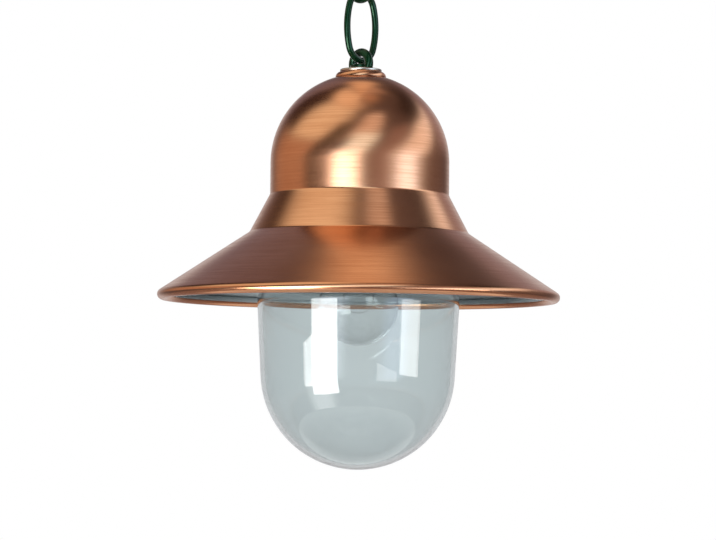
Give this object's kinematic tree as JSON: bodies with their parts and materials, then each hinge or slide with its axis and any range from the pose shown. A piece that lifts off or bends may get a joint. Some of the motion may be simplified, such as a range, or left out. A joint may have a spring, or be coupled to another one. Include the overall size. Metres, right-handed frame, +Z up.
{
  "type": "outdoor hanging lamp",
  "caption": "Hanging lamp with a spun copper bell shade, rolled rim and clear domed screw-in glass, hung on a dark green chain and ceiling hook.",
  "frame": {"origin": "middle of the ceiling hook's plate, on the ceiling", "axes": "+Z up along the hook's shank and the lamp's axis, the picture's side is -Y"},
  "size_m": [0.2999, 0.3, 0.4795],
  "materials": {
    "green_paint": "gloss enamel over steel",
    "nickel": "plated, bright",
    "copper": "spun copper, brushed round, clear lacquer",
    "rubber": "moulded black rubber",
    "zinc_steel": "zinc plated steel",
    "cast_aluminium": "die cast, as cast",
    "clear_glass": "clear, blown",
    "white_ceramic": "white glaze",
    "brass_contact": "bare brass",
    "block_plastic": "moulded, off-white",
    "lead_brown": "insulated lead",
    "lead_blue": "insulated lead",
    "cap_metal": "drawn, bright",
    "black_glass": "vitrite insulation",
    "bulb_glass": "clear, thin blown",
    "filament_wire": "drawn wire"
  },
  "bodies": {
    "hook": {"ceiling_hook": "green_paint"},
    "upper_link": {"chain_link_upper": "green_paint"},
    "lower_link": {"chain_link_lower": "green_paint"},
    "lamp": {"eye_bolt": "green_paint", "top_washer": "nickel", "cap_rosette": "copper", "top_gasket": "rubber", "shade": "copper", "dished_washer": "zinc_steel", "spring_washer": "zinc_steel", "stud_nut": "zinc_steel", "yoke": "zinc_steel", "yoke_screws": "zinc_steel", "yoke_nuts": "zinc_steel", "glass_gallery": "cast_aluminium", "lampholder_body": "white_ceramic", "lampholder_shell": "brass_contact", "lampholder_contact": "brass_contact", "lampholder_screws": "zinc_steel", "terminal_block": "block_plastic", "terminal_screws": "brass_contact", "block_screw": "zinc_steel", "earth_screw": "brass_contact", "lead_live": "lead_brown", "lead_neutral": "lead_blue", "cable_grommet": "rubber", "bulb_cap": "cap_metal", "bulb_insulator": "black_glass", "bulb_tip": "cap_metal", "bulb_envelope": "bulb_glass", "bulb_stem": "bulb_glass", "bulb_supports": "filament_wire", "bulb_filament": "filament_wire"},
    "seal": {"glass_seal": "rubber"},
    "glass": {"glass_jar": "clear_glass"}
  },
  "joints": [
    {"name": "hook_swing", "type": "hinge", "parent": "hook", "child": "upper_link", "pos_m": [0, 0, -0.04249], "axis": [0.7071, 0.7071, 0], "range_deg": [-35, 35]},
    {"name": "link_swing", "type": "hinge", "parent": "upper_link", "child": "lower_link", "pos_m": [0, 0, -0.08769], "axis": [-0.7071, 0.7071, 0], "range_deg": [-60, 60]},
    {"name": "lamp_swing", "type": "hinge", "parent": "lower_link", "child": "lamp", "pos_m": [0, 0, -0.13339], "axis": [0.7071, 0.7071, 0], "range_deg": [-35, 35]},
    {"name": "glass_drop", "type": "slide", "parent": "lamp", "child": "seal", "axis": [0, 0, -1], "range_m": [0, 0.00905]},
    {"name": "glass_turn", "type": "hinge", "parent": "seal", "child": "glass", "pos_m": [0, 0, -0.30149], "axis": [0, 0, -1], "range_deg": [0, 540]}
  ],
  "couplings": [
    {"joint": "glass_drop", "follows": "glass_turn", "m_per_rad": 0.00095493}
  ]
}
